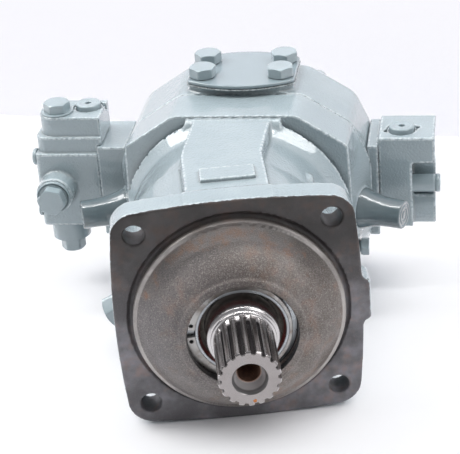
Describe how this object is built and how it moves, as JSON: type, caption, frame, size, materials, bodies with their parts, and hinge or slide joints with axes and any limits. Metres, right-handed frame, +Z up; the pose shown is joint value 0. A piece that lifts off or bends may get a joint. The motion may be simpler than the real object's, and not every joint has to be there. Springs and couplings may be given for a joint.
{
  "type": "axial piston pump",
  "caption": "Variable bent-axis axial piston pump with a square mounting flange, splined drive shaft, blanked top port and side control valve blocks.",
  "frame": {"origin": "middle of the bounding box, on the level that the flange and the housings stand on", "axes": "+Z up, drive shaft along Y with its splined end towards -Y, +X to the right seen from the shaft end"},
  "size_m": [0.3046, 0.3342, 0.181],
  "materials": {
    "front_casting": "grey-green paint over cast iron, bare oily flange and nose",
    "end_casting": "glossy grey-green paint over cast iron",
    "cover_paint": "glossy grey-green paint on a flat plate",
    "bolt_paint": "grey-green paint on steel fasteners",
    "block_paint": "glossy grey-green paint on machined blocks",
    "plug_paint": "grey-green paint on plugs and caps",
    "gasket": "dark gasket sheet",
    "ring_steel": "oily spring steel with paint on its face",
    "seal_rubber": "dark red seal rubber",
    "shaft_steel": "ground and oiled shaft steel with light rust",
    "bearing_steel": "ground bearing steel",
    "rotor_steel": "machined and oiled steel",
    "segment_bronze": "lapped bronze",
    "spring_steel": "drawn spring wire"
  },
  "bodies": {
    "housing": {"front_housing": "front_casting", "end_housing": "end_casting", "housing_gasket": "gasket", "cover_gasket": "gasket", "port_cover": "cover_paint", "cover_bolt_1": "bolt_paint", "cover_bolt_2": "bolt_paint", "cover_bolt_3": "bolt_paint", "cover_bolt_4": "bolt_paint", "housing_bolt_1": "bolt_paint", "housing_bolt_2": "bolt_paint", "housing_bolt_3": "bolt_paint", "housing_bolt_4": "bolt_paint", "shaft_seal": "seal_rubber", "seal_circlip": "ring_steel", "front_bearing_cup": "bearing_steel", "rear_bearing_cup": "bearing_steel", "left_end_block": "block_paint", "right_end_block": "block_paint", "left_valve_block": "block_paint", "right_valve_block": "block_paint", "left_top_plug": "plug_paint", "left_cap_plug": "plug_paint", "left_cap_ring": "plug_paint", "left_front_ring": "plug_paint", "left_front_plug": "plug_paint", "left_bottom_plug": "plug_paint", "left_side_plug_upper": "plug_paint", "left_side_plug_lower": "plug_paint", "spool_spring": "spring_steel", "right_cap_plug": "plug_paint", "right_cap_ring": "plug_paint", "right_adjuster": "plug_paint", "stop_screw_left": "bolt_paint", "stop_screw_right": "bolt_paint", "stop_cap_left": "plug_paint", "stop_cap_right": "plug_paint", "drain_plug": "plug_paint", "bleed_plug": "plug_paint"},
    "rotor": {"drive_shaft": "shaft_steel", "ball_retainer": "rotor_steel", "front_bearing_cone": "bearing_steel", "rear_bearing_cone": "bearing_steel", "bearing_nut": "rotor_steel"},
    "front_cage": {"front_bearing_rollers": "bearing_steel"},
    "rear_cage": {"rear_bearing_rollers": "bearing_steel"},
    "swivel": {"valve_segment": "segment_bronze"},
    "block": {"cylinder_block": "rotor_steel", "centre_pin": "shaft_steel", "centre_spring": "spring_steel"},
    "piston_body_1": {"piston_1": "rotor_steel"},
    "piston_body_2": {"piston_2": "rotor_steel"},
    "piston_body_3": {"piston_3": "rotor_steel"},
    "piston_body_4": {"piston_4": "rotor_steel"},
    "piston_body_5": {"piston_5": "rotor_steel"},
    "piston_body_6": {"piston_6": "rotor_steel"},
    "piston_body_7": {"piston_7": "rotor_steel"},
    "control": {"control_piston": "rotor_steel", "positioning_pin": "rotor_steel"},
    "spool": {"control_spool": "rotor_steel"}
  },
  "joints": [
    {"name": "shaft_spin", "type": "hinge", "parent": "housing", "child": "rotor", "pos_m": [-0.01375, -0.08514, 0.0822], "axis": [0, 1, 0], "range_deg": [-360, 360]},
    {"name": "swivel_angle", "type": "hinge", "parent": "housing", "child": "swivel", "pos_m": [-0.01375, -0.00714, 0.0822], "axis": [0, 0, -1], "range_deg": [0, 24]},
    {"name": "block_spin", "type": "hinge", "parent": "swivel", "child": "block", "pos_m": [-0.01375, -0.00714, 0.0822], "axis": [0, 1, 0], "range_deg": [-360, 360]},
    {"name": "piston_1_tilt", "type": "hinge", "parent": "rotor", "child": "piston_body_1", "pos_m": [-0.01375, -0.00714, 0.1137], "axis": [0, 0, -1], "range_deg": [-1, 30]},
    {"name": "piston_2_tilt", "type": "hinge", "parent": "rotor", "child": "piston_body_2", "pos_m": [-0.03838, -0.00714, 0.10184], "axis": [0, 0, -1], "range_deg": [-1, 30]},
    {"name": "piston_3_tilt", "type": "hinge", "parent": "rotor", "child": "piston_body_3", "pos_m": [-0.04447, -0.00714, 0.07519], "axis": [0, 0, -1], "range_deg": [-1, 30]},
    {"name": "piston_4_tilt", "type": "hinge", "parent": "rotor", "child": "piston_body_4", "pos_m": [-0.02742, -0.00714, 0.05382], "axis": [0, 0, -1], "range_deg": [-1, 30]},
    {"name": "piston_5_tilt", "type": "hinge", "parent": "rotor", "child": "piston_body_5", "pos_m": [-0.00009, -0.00714, 0.05382], "axis": [0, 0, -1], "range_deg": [-1, 30]},
    {"name": "piston_6_tilt", "type": "hinge", "parent": "rotor", "child": "piston_body_6", "pos_m": [0.01696, -0.00714, 0.07519], "axis": [0, 0, -1], "range_deg": [-1, 30]},
    {"name": "piston_7_tilt", "type": "hinge", "parent": "rotor", "child": "piston_body_7", "pos_m": [0.01087, -0.00714, 0.10184], "axis": [0, 0, -1], "range_deg": [-1, 30]},
    {"name": "front_cage_spin", "type": "hinge", "parent": "housing", "child": "front_cage", "pos_m": [-0.01375, -0.08514, 0.0822], "axis": [0, 1, 0], "range_deg": [-160, 160]},
    {"name": "rear_cage_spin", "type": "hinge", "parent": "housing", "child": "rear_cage", "pos_m": [-0.01375, -0.08514, 0.0822], "axis": [0, 1, 0], "range_deg": [-160, 160]},
    {"name": "control_stroke", "type": "slide", "parent": "housing", "child": "control", "axis": [0.9781, -0.2079, 0], "range_m": [0, 0.04334]},
    {"name": "spool_stroke", "type": "slide", "parent": "housing", "child": "spool", "axis": [0, 0, 1], "range_m": [-0.0025, 0.0025], "stiffness_N_per_m": 400, "springref_m": 0.0007, "deforming": ["spool_spring"]}
  ],
  "couplings": [
    {"joint": "block_spin", "follows": "shaft_spin", "ratio": 1},
    {"joint": "piston_1_tilt", "follows": "swivel_angle", "ratio": 1},
    {"joint": "piston_2_tilt", "follows": "swivel_angle", "ratio": 0.90407},
    {"joint": "piston_3_tilt", "follows": "swivel_angle", "ratio": 0.88036},
    {"joint": "piston_4_tilt", "follows": "swivel_angle", "ratio": 0.94677},
    {"joint": "piston_5_tilt", "follows": "swivel_angle", "ratio": 1.0532},
    {"joint": "piston_6_tilt", "follows": "swivel_angle", "ratio": 1.1196},
    {"joint": "piston_7_tilt", "follows": "swivel_angle", "ratio": 1.0959},
    {"joint": "front_cage_spin", "follows": "shaft_spin", "ratio": 0.43},
    {"joint": "rear_cage_spin", "follows": "shaft_spin", "ratio": 0.43},
    {"joint": "control_stroke", "follows": "swivel_angle", "m_per_rad": 0.1025}
  ]
}
